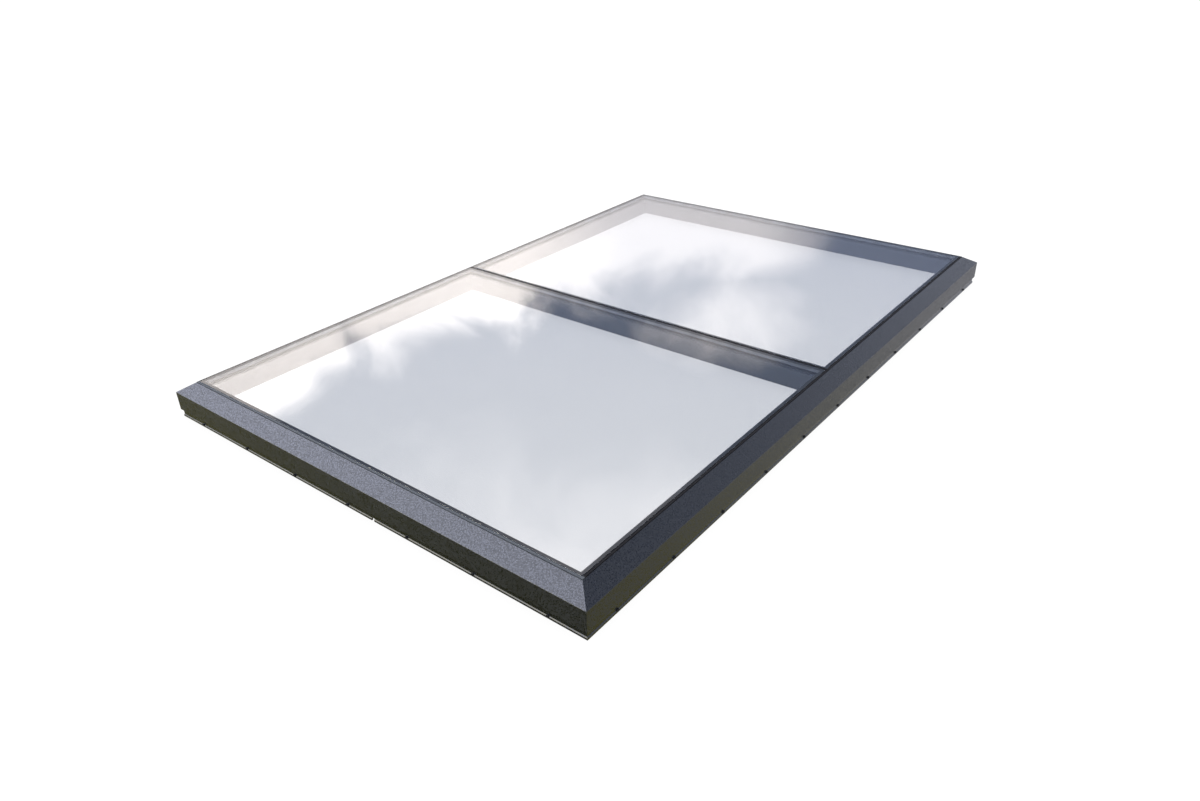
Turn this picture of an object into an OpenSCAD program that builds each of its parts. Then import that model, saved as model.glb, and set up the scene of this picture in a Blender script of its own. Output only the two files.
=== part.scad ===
// Fixed flat rooflight with two flush glass units, a bevelled metal surround and
// a mullion under the joint between the units.
// Origin: centre of the underside. X along the short sides, Y along the long
// sides, Z up. In every section u is the distance inwards from the outer face.

/* [Overall] */
// Width across the short sides
overall_w = 2000; // [1400:10:2600]
// Length along the long sides
overall_l = 3000; // [2000:10:3800]
// Distance from the outer face to the inner edge of the opening
frame_w = 100; // [92:1:140]
// Depth of the tray that drops over the kerb
kerb_depth = 32; // [28:1:60]

/* [Cladding] */
// Wall thickness of the cladding
clad_t = 3; // [2:0.5:4]
// Distance from the outer face to the top of the bevel
bevel_w = 60; // [54:1:64]
// Height of the bevel's lower edge below the glass
bevel_drop = 38; // [30:1:50]
// Height of the bevel's upper edge below the glass
rim_drop = 1.5; // [0.5:0.5:3]
// How far the skirt hangs below the base plate
skirt_drop = 2; // [0:0.5:6]
// Radius of the cladding's outside edges
edge_r = 1.5; // [0.5:0.5:2]
// How far the lip on the base plate reaches past its screws
lip_past = 6; // [3:0.5:8]
// Width of the foot that rests on the inner profile
foot_w = 14; // [10:1:18]
// Leg length of the angles inside the cladding corners
angle_leg = 50; // [30:5:80]
// Thickness of the angles inside the cladding corners
angle_t = 2; // [1.5:0.5:3]
// Height of the angles inside the cladding corners
angle_h = 45; // [30:5:50]

/* [Base profile] */
// Thickness of the base plate and its downstand
base_t = 3; // [2:0.5:4]
// Inset of the downstand's foot from the cladding's outer face
foot_inset = 4; // [2:0.5:6]
// How far the foot stands out of the downstand
foot_out = 2.5; // [1.5:0.5:3]
// Height of the foot's upright face
foot_h = 6.5; // [4:0.5:10]
// Position of the drain notch along the front side
drain_x = 128; // [-400:1:400]
// Width of the drain notch
drain_w = 12; // [6:1:20]
// Height of the drain notch
drain_h = 10; // [6:1:20]

/* [Kerb fixings] */
// Largest spacing of the fixings along a side
fixing_pitch = 290; // [200:10:400]
// Height of the fixings above the bottom edge
fixing_z = 8; // [7:0.5:12]
// Bore for the fixing screw
fixing_bore = 5.4; // [4:0.1:6]
// Diameter of the bush's barrel
bush_barrel_d = 7.4; // [7:0.1:8.4]
// Diameter of the bush's head
bush_head_d = 10; // [9.5:0.5:12]
// How far the bush's head stands out of the foot
bush_proud = 2.5; // [0.5:0.5:3]
// How far the barrel reaches past the downstand
bush_past = 2.5; // [0:0.5:5]

/* [Inner frame] */
// Height of the inner profile
inner_h = 73; // [60:1:110]
// Distance of the inner profile's box from the cladding's leg
box_setback = 2; // [0.5:0.5:4]
// Width of the flange that carries the cladding's foot
inner_flange_w = 12; // [8:1:14]
// Wall thickness of the inner profile and the mullion
inner_t = 3; // [2:0.5:4]
// Width of the mullion
mullion_w = 75; // [70:1:100]
// Arm length of the corner cleats
cleat_arm = 90; // [70:5:140]
// Wall thickness of the cleats
cleat_t = 4; // [3:0.5:5]
// Reach of the mullion cleats into the mullion
mullion_cleat_l = 44; // [40:1:80]
// Gap between a cleat and the profile around it
cleat_gap = 0.3; // [0.1:0.1:0.8]

/* [Glass] */
// Thickness of the outer pane
outer_glass_t = 8; // [6:0.5:10]
// Thickness of the gas space
cavity_t = 12; // [10:1:20]
// Thickness of the laminated inner pane
inner_glass_t = 8.8; // [6.8:0.4:12.8]
// Width of the silicone joint around the glass
edge_joint = 8; // [6:0.5:10]
// Width of the silicone joint between the panes
centre_joint = 10; // [8:0.5:14]
// Depth of the silicone joints
joint_depth = 8; // [6:0.5:10]
// Height of the silicone below the glass
joint_drop = 0.8; // [0.2:0.1:1.5]
// Width of the seal at the edge of the gas space
edge_seal_w = 6; // [4:0.5:8]
// Width of the spacer bar between the panes
spacer_w = 8; // [6:0.5:10]
// Thickness of the glazing tape
tape_t = 5.2; // [3:0.2:8]
// Width of the glazing tape
tape_w = 16; // [10:1:18]
// Distance of the tape from the inner edge of the ledge
tape_setback = 8; // [4:1:8]
// Squeeze gap between a backer rod and the sides of its joint
rod_gap = 0.1; // [0.1:0.1:0.4]
// Length of a setting block
block_l = 100; // [60:10:150]
// Height of a setting block
block_h = 14; // [8:1:15]

/* [Seals and insulation] */
// Distance of the foam seal from the screw heads beside it
base_seal_gap = 4.5; // [2:0.5:8]
// Width of the foam seal that lies on the kerb
base_seal_w = 40; // [25:1:45]
// Thickness of the foam seal that lies on the kerb
base_seal_t = 4; // [3:0.5:8]
// Gap around the insulation
insulation_gap = 0.5; // [0.3:0.1:1]

/* [Screws] */
// Largest spacing of the screws in the base plate
screw_pitch = 500; // [300:10:700]
// Shank diameter of the base plate screws
screw_d = 4; // [3:0.5:5]
// Head diameter of the base plate screws
screw_head_d = 7; // [6:0.5:9]
// Head height of the base plate screws
screw_head_h = 2.6; // [2:0.1:3]
// Shank diameter of the mullion screws
mullion_screw_d = 5; // [4:0.5:6]
// Head diameter of the mullion screws
mullion_head_d = 10; // [9:0.5:12]
// Gap between the screw heads and the downstand
screw_head_gap = 3; // [1:0.5:5]
// Gap around a screw in its hole
screw_gap = 0.1; // [0.05:0.05:0.3]
// How far a screw's tip passes the last wall it holds
screw_past = 4; // [2:1:8]

/* [Hidden] */
$fn = 48;
// Sides, in quarter turns from the front
FRONT = 0;
RIGHT = 1;
BACK = 2;
LEFT = 3;
// How far a cut runs past the faces it opens
EPS = 1;
// Flats along the rounded edges of the cladding
ARC_STEPS = 3;

ANTHRACITE = [0.24, 0.26, 0.29];
MILL_ALUMINIUM = [0.72, 0.73, 0.75];
CLEAR_GLASS = [0.80, 0.88, 0.90, 0.45];
BLACK = [0.06, 0.06, 0.07];
DARK_GREY = [0.18, 0.18, 0.19];
ZINC = [0.66, 0.67, 0.68];
FOAM = [0.85, 0.80, 0.62];

// Heights, from the bottom edge of the downstand up
z_plate = kerb_depth;
z_plate_top = z_plate + base_t;
z_ledge = z_plate_top + inner_h;
z_inner_glass = z_ledge + tape_t;
z_cavity = z_inner_glass + inner_glass_t;
z_outer_glass = z_cavity + cavity_t;
z_top = z_outer_glass + outer_glass_t;
z_skirt = z_plate - skirt_drop;
z_bevel = z_top - bevel_drop;
z_rim = z_top - rim_drop;
z_joint_top = z_top - joint_drop;
z_joint = z_joint_top - joint_depth;
z_lip_top = z_plate_top + clad_t;

// Distances inwards from the outer face
u_box = bevel_w + box_setback;
u_flange = u_box - inner_flange_w;
u_glass = bevel_w + edge_joint;
u_down = foot_inset + foot_out;
u_down_in = u_down + base_t;
u_insulation = clad_t + angle_t + insulation_gap;
u_lip_screw = u_down_in + screw_head_gap + screw_head_d / 2;
u_lip = u_lip_screw + lip_past;
u_frame_screw = (u_box + frame_w) / 2;
u_base_seal = u_lip_screw + screw_head_d / 2 + base_seal_gap;

bevel_slope = (z_rim - z_bevel) / bevel_w;
chamber_w = frame_w - u_box - 2 * inner_t;

// Glass
pane_w = overall_w - 2 * u_glass;
pane_l = (overall_l - 2 * u_glass - centre_joint) / 2;
pane_y = (pane_l + centre_joint) / 2;

// Clear opening under one pane
opening_w = overall_w - 2 * frame_w;
opening_l = (overall_l - 2 * frame_w - mullion_w) / 2;
opening_y = (opening_l + mullion_w) / 2;

// Mullion
mullion_h = z_ledge - z_plate;
z_mullion_floor = z_plate + inner_t;
z_cleat = z_mullion_floor + cleat_gap;
cleat_h = mullion_h - 2 * inner_t - 2 * cleat_gap;
cleat_w = mullion_w - 2 * inner_t - 2 * cleat_gap;
cleat_screw_y = mullion_w / 4;
cleat_screw_z = z_plate + mullion_h / 2;
mullion_screw_x = overall_w / 2 - frame_w - mullion_cleat_l / 2 - cleat_t / 2;

// Length of a side, and how far its outer face is from the centre
function side_length(side) = side % 2 == 0 ? overall_w : overall_l;
function side_distance(side) = side % 2 == 0 ? overall_l / 2 : overall_w / 2;

// Evenly spaced places along a length, half a spacing in from each end
function places(length, pitch) =
    let (n = ceil(length / pitch))
    [for (i = [0 : n - 1]) (i + 0.5) * length / n - length / 2];

// Height of the bevel's inner face at a distance u
function under_bevel(u) = z_bevel + bevel_slope * u - clad_t * sqrt(1 + bevel_slope * bevel_slope);

function unit(v) = v / norm(v);

// Points of an arc that rounds the corner at b between a and c
function rounded(a, b, c, r) =
    let (
        to_a = unit(a - b),
        to_c = unit(c - b),
        half = acos(to_a * to_c) / 2,
        centre = b + unit(to_a + to_c) * r / sin(half),
        start = b + to_a * r / tan(half) - centre,
        end = b + to_c * r / tan(half) - centre,
        sweep = 180 - 2 * half
    )
    [for (i = [0 : ARC_STEPS])
        let (t = i / ARC_STEPS)
        centre + (start * sin((1 - t) * sweep) + end * sin(t * sweep)) / sin(sweep)];

// Puts a piece drawn for the front side, its outer face on y = 0, on any side
module on_side(side) {
    rotate([0, 0, 90 * side])
        translate([0, -side_distance(side), 0])
            children();
}

// Extrudes a section of (u, z) points along a side and mitres both ends
module mitred(side, depth = frame_w) {
    half = side_length(side) / 2;
    intersection() {
        rotate([90, 0, 90])
            linear_extrude(height = 2 * half, center = true)
                children();
        linear_extrude(height = z_top)
            polygon([[-half, 0], [half, 0], [half - depth, depth], [depth - half, depth]]);
    }
}

// Puts a piece drawn at the front left corner on any corner
module at_corner(right, back) {
    mirror([right, 0, 0])
        mirror([0, back, 0])
            translate([-overall_w / 2, -overall_l / 2, 0])
                children();
}

// An L in plan whose two arms run along the sides from u to u + thickness
module corner_outline(u, thickness, arm) {
    polygon([
        [u, u],
        [u + arm, u],
        [u + arm, u + thickness],
        [u + thickness, u + thickness],
        [u + thickness, u + arm],
        [u, u + arm]
    ]);
}

// A flat ring that follows the edge of one pane
module pane_ring(inset, width) {
    difference() {
        square([pane_w - 2 * inset, pane_l - 2 * inset], center = true);
        square([pane_w - 2 * (inset + width), pane_l - 2 * (inset + width)], center = true);
    }
}

// Moves a piece drawn around the centre to the front (-1) or back (1) pane
module at_pane(way, z) {
    translate([0, way * pane_y, z])
        children();
}

// A cylinder that runs inwards from a side's outer face
module inward(d, u, length) {
    translate([0, u, 0])
        rotate([-90, 0, 0])
            cylinder(d = d, h = length);
}

// ---- Cladding ----

module cladding_section() {
    low = [0, z_skirt];
    shoulder = [0, z_bevel];
    rim = [bevel_w, z_rim];
    leg = [bevel_w, z_ledge];
    polygon(concat(
        [low],
        rounded(low, shoulder, rim, edge_r),
        rounded(shoulder, rim, leg, edge_r),
        [
            leg,
            [bevel_w - foot_w, z_ledge],
            [bevel_w - foot_w, z_ledge + clad_t],
            [bevel_w - clad_t, z_ledge + clad_t],
            [bevel_w - clad_t, under_bevel(bevel_w - clad_t)],
            [clad_t, under_bevel(clad_t)],
            [clad_t, z_lip_top],
            [u_lip, z_lip_top],
            [u_lip, z_plate_top],
            [clad_t, z_plate_top],
            [clad_t, z_skirt]
        ]
    ));
}

module cladding(side) {
    color(ANTHRACITE)
        on_side(side)
            difference() {
                mitred(side)
                    cladding_section();
                screw_holes(side, u_lip_screw, z_plate_top, clad_t);
            }
}

module corner_angle(right, back) {
    color(MILL_ALUMINIUM)
        at_corner(right, back)
            translate([0, 0, (z_lip_top + under_bevel(clad_t) - angle_h) / 2])
                linear_extrude(height = angle_h)
                    corner_outline(clad_t, angle_t, angle_leg);
}

module insulation(side) {
    g = insulation_gap;
    u_in = u_box - g;
    u_leg = bevel_w - clad_t - g;
    u_foot = min(bevel_w - foot_w, u_flange) - g;
    z_low = z_lip_top + screw_past + g;
    color(FOAM)
        on_side(side)
            mitred(side)
                polygon([
                    [u_lip + g, z_plate_top + g],
                    [u_in, z_plate_top + g],
                    [u_in, z_ledge - inner_t - g],
                    [u_foot, z_ledge - inner_t - g],
                    [u_foot, z_ledge + clad_t + g],
                    [u_leg, z_ledge + clad_t + g],
                    [u_leg, under_bevel(u_leg) - g],
                    [u_insulation, under_bevel(u_insulation) - g],
                    [u_insulation, z_low],
                    [u_lip + g, z_low]
                ]);
}

// ---- Base profile ----

module base_section() {
    polygon([
        [foot_inset, 0],
        [foot_inset, foot_h],
        [u_down, foot_h + foot_out],
        [u_down, z_plate_top],
        [frame_w, z_plate_top],
        [frame_w, z_plate],
        [u_down_in, z_plate],
        [u_down_in, 0]
    ]);
}

// Holes for the fixing bushes, with the foot cut away around each head
module bush_holes(side) {
    gap = screw_gap;
    for (x = places(side_length(side), fixing_pitch))
        translate([x, 0, fixing_z]) {
            inward(bush_barrel_d + 2 * gap, u_down - EPS, base_t + 2 * EPS);
            inward(bush_head_d + 2 * gap, foot_inset - EPS, foot_out + EPS);
        }
}

module drain_notch() {
    translate([drain_x - drain_w / 2, foot_inset - EPS, -EPS])
        cube([drain_w, foot_out + base_t + 2 * EPS, drain_h + EPS]);
}

module base_profile(side) {
    color(ANTHRACITE)
        on_side(side)
            difference() {
                mitred(side)
                    base_section();
                bush_holes(side);
                screw_holes(side, u_lip_screw, z_plate, base_t);
                screw_holes(side, u_frame_screw, z_plate, base_t);
                if (side == FRONT)
                    drain_notch();
            }
}

// Bushes that line the kerb fixing holes
module fixing_bushes(side) {
    color(BLACK)
        on_side(side)
            for (x = places(side_length(side), fixing_pitch))
                translate([x, 0, fixing_z])
                    difference() {
                        union() {
                            inward(bush_head_d, foot_inset - bush_proud, bush_proud + foot_out);
                            inward(bush_barrel_d, u_down, base_t + bush_past);
                        }
                        inward(fixing_bore, 0, u_down_in + bush_past + EPS);
                    }
}

module base_seal(side) {
    color(DARK_GREY)
        on_side(side)
            mitred(side)
                translate([u_base_seal, z_plate - base_seal_t])
                    square([base_seal_w, base_seal_t]);
}

// ---- Inner frame ----

module inner_section() {
    difference() {
        polygon([
            [u_box, z_plate_top],
            [frame_w, z_plate_top],
            [frame_w, z_ledge],
            [u_flange, z_ledge],
            [u_flange, z_ledge - inner_t],
            [u_box, z_ledge - inner_t]
        ]);
        translate([u_box + inner_t, z_plate_top + inner_t])
            square([chamber_w, inner_h - 2 * inner_t]);
    }
}

// Holes for the screws of the mullion cleat, in the middle of a long side
module cleat_screw_holes() {
    for (way = [-1, 1])
        translate([way * cleat_screw_y, 0, cleat_screw_z])
            inward(mullion_screw_d + 2 * screw_gap, frame_w - inner_t - EPS, inner_t + 2 * EPS);
}

module inner_profile(side) {
    color(ANTHRACITE)
        on_side(side)
            difference() {
                mitred(side)
                    inner_section();
                screw_holes(side, u_frame_screw, z_plate_top, inner_t);
                if (side == LEFT || side == RIGHT)
                    cleat_screw_holes();
            }
}

module corner_cleat(right, back) {
    u = u_box + inner_t + cleat_gap;
    width = chamber_w - 2 * cleat_gap;
    hollow = width - 2 * cleat_t;
    pocket = cleat_arm - width - 2 * cleat_t;
    color(MILL_ALUMINIUM)
        at_corner(right, back)
            translate([0, 0, z_plate_top + inner_t + cleat_gap])
                linear_extrude(height = inner_h - 2 * inner_t - 2 * cleat_gap)
                    difference() {
                        corner_outline(u, width, cleat_arm);
                        translate([u + width + cleat_t, u + cleat_t])
                            square([pocket, hollow]);
                        translate([u + cleat_t, u + width + cleat_t])
                            square([hollow, pocket]);
                    }
}

module mullion() {
    color(ANTHRACITE)
        difference() {
            translate([-opening_w / 2, -mullion_w / 2, z_plate])
                cube([opening_w, mullion_w, mullion_h]);
            translate([-opening_w / 2 - EPS, inner_t - mullion_w / 2, z_mullion_floor])
                cube([
                    opening_w + 2 * EPS,
                    mullion_w - 2 * inner_t,
                    mullion_h - 2 * inner_t
                ]);
            mullion_screws_shape(screw_gap);
        }
}

// Tray that fills one end of the mullion, its closed end on the inner profile
module mullion_cleat(side) {
    color(MILL_ALUMINIUM)
        difference() {
            on_side(side)
                difference() {
                    translate([-cleat_w / 2, frame_w, z_cleat])
                        cube([cleat_w, mullion_cleat_l, cleat_h]);
                    translate([cleat_t - cleat_w / 2, frame_w + cleat_t, z_cleat + cleat_t])
                        cube([cleat_w - 2 * cleat_t, mullion_cleat_l, cleat_h]);
                    for (way = [-1, 1])
                        translate([way * cleat_screw_y, 0, cleat_screw_z])
                            inward(
                                mullion_screw_d + 2 * screw_gap,
                                frame_w - EPS,
                                cleat_t + 2 * EPS
                            );
                }
            mullion_screws_shape(screw_gap);
        }
}

// ---- Glass units ----

module outer_pane(way) {
    color(CLEAR_GLASS)
        at_pane(way, z_outer_glass)
            linear_extrude(height = outer_glass_t)
                square([pane_w, pane_l], center = true);
}

module inner_pane(way) {
    color(CLEAR_GLASS)
        at_pane(way, z_inner_glass)
            linear_extrude(height = inner_glass_t)
                square([pane_w, pane_l], center = true);
}

module edge_seal(way) {
    color(BLACK)
        at_pane(way, z_cavity)
            linear_extrude(height = cavity_t)
                pane_ring(0, edge_seal_w);
}

module spacer(way) {
    color(DARK_GREY)
        at_pane(way, z_cavity)
            linear_extrude(height = cavity_t)
                pane_ring(edge_seal_w, spacer_w);
}

module opening_outline(grow) {
    square([opening_w + 2 * grow, opening_l + 2 * grow], center = true);
}

module glazing_tape(way) {
    color(BLACK)
        translate([0, way * opening_y, z_ledge])
            linear_extrude(height = tape_t)
                difference() {
                    opening_outline(tape_setback + tape_w);
                    opening_outline(tape_setback);
                }
}

// Silicone around both panes and between them
module silicone_joint() {
    color(BLACK)
        translate([0, 0, z_joint])
            linear_extrude(height = joint_depth)
                difference() {
                    square([overall_w - 2 * bevel_w, overall_l - 2 * bevel_w], center = true);
                    for (way = [-1, 1])
                        translate([0, way * pane_y])
                            square([pane_w, pane_l], center = true);
                }
}

// A foam rod that lies along x, under the silicone of a joint
module backer_rod(joint, length) {
    d = joint - 2 * rod_gap;
    translate([-length / 2, 0, z_joint - d / 2])
        rotate([0, 90, 0])
            cylinder(d = d, h = length);
}

module backer_rod_perimeter() {
    color(DARK_GREY)
        for (side = [FRONT, RIGHT, BACK, LEFT])
            on_side(side)
                translate([0, bevel_w + edge_joint / 2, 0])
                    backer_rod(
                        edge_joint,
                        side % 2 == 0 ? pane_w : side_length(side) - 2 * bevel_w - 2 * rod_gap
                    );
}

module backer_rod_centre() {
    color(DARK_GREY)
        backer_rod(centre_joint, pane_w);
}

// Blocks that keep one pane away from the cladding's leg
module setting_blocks(way) {
    width = edge_joint - 2 * rod_gap;
    color(BLACK)
        translate([0, 0, z_ledge]) {
            for (x = [-1, 1])
                translate([x * pane_w / 4 - block_l / 2, 0, 0])
                    translate([0, way * (overall_l / 2 - bevel_w - edge_joint / 2) - width / 2, 0])
                        cube([block_l, width, block_h]);
            for (x = [-1, 1], y = [-1, 1])
                translate([
                    x * (overall_w / 2 - bevel_w - edge_joint / 2) - width / 2,
                    way * pane_y + y * pane_l / 4 - block_l / 2,
                    0
                ])
                    cube([width, block_l, block_h]);
        }
}

// Blocks that keep the two panes apart, on top of the mullion
module centre_blocks() {
    width = centre_joint - 2 * rod_gap;
    color(BLACK)
        for (x = [-1, 1])
            translate([x * pane_w / 4 - block_l / 2, -width / 2, z_ledge])
                cube([block_l, width, block_h]);
}

// ---- Screws ----

// Holes through a wall of the given thickness for upright screws along a side
module screw_holes(side, u, z, thickness) {
    for (x = places(side_length(side), screw_pitch))
        translate([x, u, z - EPS])
            cylinder(d = screw_d + 2 * screw_gap, h = thickness + 2 * EPS);
}

// Pan-head screws up through the base plate and the wall above it
module plate_screws(u, wall) {
    color(ZINC)
        for (side = [FRONT, RIGHT, BACK, LEFT])
            on_side(side)
                for (x = places(side_length(side), screw_pitch))
                    translate([x, u, z_plate]) {
                        translate([0, 0, -screw_head_h])
                            cylinder(d = screw_head_d, h = screw_head_h);
                        cylinder(d = screw_d, h = base_t + wall + screw_past);
                    }
}

// Countersunk screws up through the mullion into its cleats, grown by a gap
module mullion_screws_shape(gap) {
    cone = (mullion_head_d - mullion_screw_d) / 2;
    for (x = [-1, 1], y = [-1, 1])
        translate([x * mullion_screw_x, y * cleat_screw_y, z_plate]) {
            translate([0, 0, gap > 0 ? -EPS : 0])
                cylinder(d = mullion_screw_d + 2 * gap, h = inner_t + cleat_gap + cleat_t + screw_past);
            cylinder(
                d1 = mullion_head_d + 2 * gap,
                d2 = mullion_screw_d + 2 * gap,
                h = cone
            );
        }
}

module mullion_screws() {
    color(ZINC)
        mullion_screws_shape(0);
}

// Screws that hold the mullion cleats to the inner profile
module cleat_screws() {
    color(ZINC)
        for (side = [RIGHT, LEFT], way = [-1, 1])
            on_side(side)
                translate([way * cleat_screw_y, 0, cleat_screw_z]) {
                    inward(
                        mullion_screw_d,
                        frame_w - inner_t - screw_past,
                        inner_t + cleat_t + screw_past
                    );
                    inward(mullion_head_d, frame_w + cleat_t, screw_head_h);
                }
}

cladding(FRONT);  // cladding_front
cladding(RIGHT);  // cladding_right
cladding(BACK);  // cladding_back
cladding(LEFT);  // cladding_left
corner_angle(0, 0);  // corner_angle_front_left
corner_angle(1, 0);  // corner_angle_front_right
corner_angle(0, 1);  // corner_angle_back_left
corner_angle(1, 1);  // corner_angle_back_right
insulation(FRONT);  // insulation_front
insulation(RIGHT);  // insulation_right
insulation(BACK);  // insulation_back
insulation(LEFT);  // insulation_left
base_profile(FRONT);  // base_profile_front
base_profile(RIGHT);  // base_profile_right
base_profile(BACK);  // base_profile_back
base_profile(LEFT);  // base_profile_left
fixing_bushes(FRONT);  // fixing_bushes_front
fixing_bushes(RIGHT);  // fixing_bushes_right
fixing_bushes(BACK);  // fixing_bushes_back
fixing_bushes(LEFT);  // fixing_bushes_left
base_seal(FRONT);  // base_seal_front
base_seal(RIGHT);  // base_seal_right
base_seal(BACK);  // base_seal_back
base_seal(LEFT);  // base_seal_left
inner_profile(FRONT);  // inner_profile_front
inner_profile(RIGHT);  // inner_profile_right
inner_profile(BACK);  // inner_profile_back
inner_profile(LEFT);  // inner_profile_left
corner_cleat(0, 0);  // corner_cleat_front_left
corner_cleat(1, 0);  // corner_cleat_front_right
corner_cleat(0, 1);  // corner_cleat_back_left
corner_cleat(1, 1);  // corner_cleat_back_right
mullion();
mullion_cleat(RIGHT);  // mullion_cleat_right
mullion_cleat(LEFT);  // mullion_cleat_left
outer_pane(-1);  // outer_pane_front
outer_pane(1);  // outer_pane_back
inner_pane(-1);  // inner_pane_front
inner_pane(1);  // inner_pane_back
edge_seal(-1);  // edge_seal_front
edge_seal(1);  // edge_seal_back
spacer(-1);  // spacer_front
spacer(1);  // spacer_back
glazing_tape(-1);  // glazing_tape_front
glazing_tape(1);  // glazing_tape_back
silicone_joint();
backer_rod_perimeter();
backer_rod_centre();
setting_blocks(-1);  // setting_blocks_front
setting_blocks(1);  // setting_blocks_back
centre_blocks();
plate_screws(u_lip_screw, clad_t);  // cladding_screws
plate_screws(u_frame_screw, inner_t);  // frame_screws
mullion_screws();
cleat_screws();
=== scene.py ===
"""Flat rooflight with two flush glass units, a bevelled surround and a mullion.

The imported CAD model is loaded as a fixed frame. Each operator below makes one piece or
one group of like pieces around it, in metres. The origin is the centre of the underside,
X runs along the short sides, Y along the long sides and Z up. In the notes, u is the
distance inwards from the outer face of a side.
"""

import math

import bmesh
import bpy
from bpy.props import FloatProperty, FloatVectorProperty, IntProperty, PointerProperty
from mathutils import Matrix, Vector


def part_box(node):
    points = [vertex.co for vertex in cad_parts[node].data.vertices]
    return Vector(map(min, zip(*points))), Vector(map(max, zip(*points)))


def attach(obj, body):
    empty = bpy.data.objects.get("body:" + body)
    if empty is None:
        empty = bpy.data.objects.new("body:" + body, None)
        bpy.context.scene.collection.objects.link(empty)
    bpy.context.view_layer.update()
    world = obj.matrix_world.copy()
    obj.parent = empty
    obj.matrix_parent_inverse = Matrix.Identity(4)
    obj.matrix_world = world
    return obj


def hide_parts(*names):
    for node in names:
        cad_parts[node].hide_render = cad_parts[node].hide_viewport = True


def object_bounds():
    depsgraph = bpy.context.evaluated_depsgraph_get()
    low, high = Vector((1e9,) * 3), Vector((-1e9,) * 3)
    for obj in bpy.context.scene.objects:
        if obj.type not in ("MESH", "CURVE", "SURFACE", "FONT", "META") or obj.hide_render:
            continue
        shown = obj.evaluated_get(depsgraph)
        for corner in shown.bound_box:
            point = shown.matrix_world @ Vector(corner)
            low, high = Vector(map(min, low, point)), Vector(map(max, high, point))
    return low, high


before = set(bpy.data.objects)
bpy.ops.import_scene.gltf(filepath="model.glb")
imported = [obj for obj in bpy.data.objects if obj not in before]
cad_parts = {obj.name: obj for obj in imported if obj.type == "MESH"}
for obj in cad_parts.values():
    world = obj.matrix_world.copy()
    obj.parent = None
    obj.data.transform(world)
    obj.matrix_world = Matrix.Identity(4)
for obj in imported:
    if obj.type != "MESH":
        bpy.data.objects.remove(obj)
CAD_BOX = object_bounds()

bl_info = {
    "name": "Flat rooflight",
    "version": (1, 0, 0),
    "blender": (4, 5, 0),
    "location": "View3D > Sidebar > Rooflight",
    "description": "Builds a two-pane flat rooflight with a bevelled surround",
    "category": "Object",
}

MM = 0.001
NEAR = 0.02 * MM  # places closer than this are the same place
QUARTER = math.pi / 2
SHARP = math.radians(25)  # edges that turn by more than this are softened
CREASE = math.radians(30)  # edges that turn by more than this stay creased in the shading
SIDES = ["front", "right", "back", "left"]

LOW, HIGH = CAD_BOX
WIDTH = HIGH.x - LOW.x
LENGTH = HIGH.y - LOW.y
GLASS_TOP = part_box("outer_pane_front")[1].z
PLATE_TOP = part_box("base_profile_front")[1].z
SKIRT_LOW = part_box("cladding_front")[0].z
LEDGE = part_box("inner_profile_front")[1].z


# ---- Sizes and colours ----


class SurroundSizes(bpy.types.PropertyGroup):
    """Sizes of the metal surround."""

    wall: FloatProperty(
        name="Wall", description="Wall thickness of the surround", default=3 * MM, unit="LENGTH"
    )
    bevel_width: FloatProperty(
        name="Bevel width",
        description="Distance from the outer face to the top of the bevel",
        default=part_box("silicone_joint")[0].y - LOW.y,
        unit="LENGTH",
    )
    bevel_drop: FloatProperty(
        name="Bevel drop",
        description="Height of the bevel's lower edge below the glass",
        default=38 * MM,
        unit="LENGTH",
    )
    rim_drop: FloatProperty(
        name="Rim drop",
        description="Height of the bevel's upper edge below the glass",
        default=GLASS_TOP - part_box("cladding_front")[1].z,
        unit="LENGTH",
    )
    edge_radius: FloatProperty(
        name="Edge radius",
        description="Radius of the surround's long outside edges",
        default=1.5 * MM,
        unit="LENGTH",
    )
    lip_reach: FloatProperty(
        name="Lip reach",
        description="Distance from the outer face to the lip's free edge",
        default=22 * MM,
        unit="LENGTH",
    )
    foot_width: FloatProperty(
        name="Foot width",
        description="Width of the foot that rests on the inner profile",
        default=14 * MM,
        unit="LENGTH",
    )
    small_edge: FloatProperty(
        name="Small edges",
        description="Softening of the cut and extruded edges",
        default=0.35 * MM,
        unit="LENGTH",
    )


class GlassSizes(bpy.types.PropertyGroup):
    """Sizes of the panes and the joints around them."""

    arris: FloatProperty(
        name="Arris", description="Width of the ground edges", default=0.3 * MM, unit="LENGTH"
    )
    joint_depth: FloatProperty(
        name="Joint depth", description="Depth of the joint", default=8 * MM, unit="LENGTH"
    )
    joint_dip: FloatProperty(
        name="Joint dip",
        description="How far the middle of the tooled joint lies below its edges",
        default=0.7 * MM,
        unit="LENGTH",
    )


class FixingSizes(bpy.types.PropertyGroup):
    """Sizes of the bushes in the kerb fixing holes."""

    pitch: FloatProperty(
        name="Pitch", description="Largest spacing of fixings", default=290 * MM, unit="LENGTH"
    )
    height: FloatProperty(
        name="Height", description="Height above the bottom edge", default=8 * MM, unit="LENGTH"
    )
    bore: FloatProperty(
        name="Bore", description="Bore for the fixing screw", default=5.4 * MM, unit="LENGTH"
    )
    head: FloatProperty(
        name="Head", description="Diameter of the bush's head", default=10 * MM, unit="LENGTH"
    )
    barrel: FloatProperty(
        name="Barrel", description="Diameter of the barrel", default=7.4 * MM, unit="LENGTH"
    )
    foot_out: FloatProperty(
        name="Foot out",
        description="How far the base profile's foot stands out of its wall",
        default=2.5 * MM,
        unit="LENGTH",
    )
    steps: IntProperty(
        name="Steps", description="Flats around each bush", default=32, min=12, max=64
    )


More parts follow.
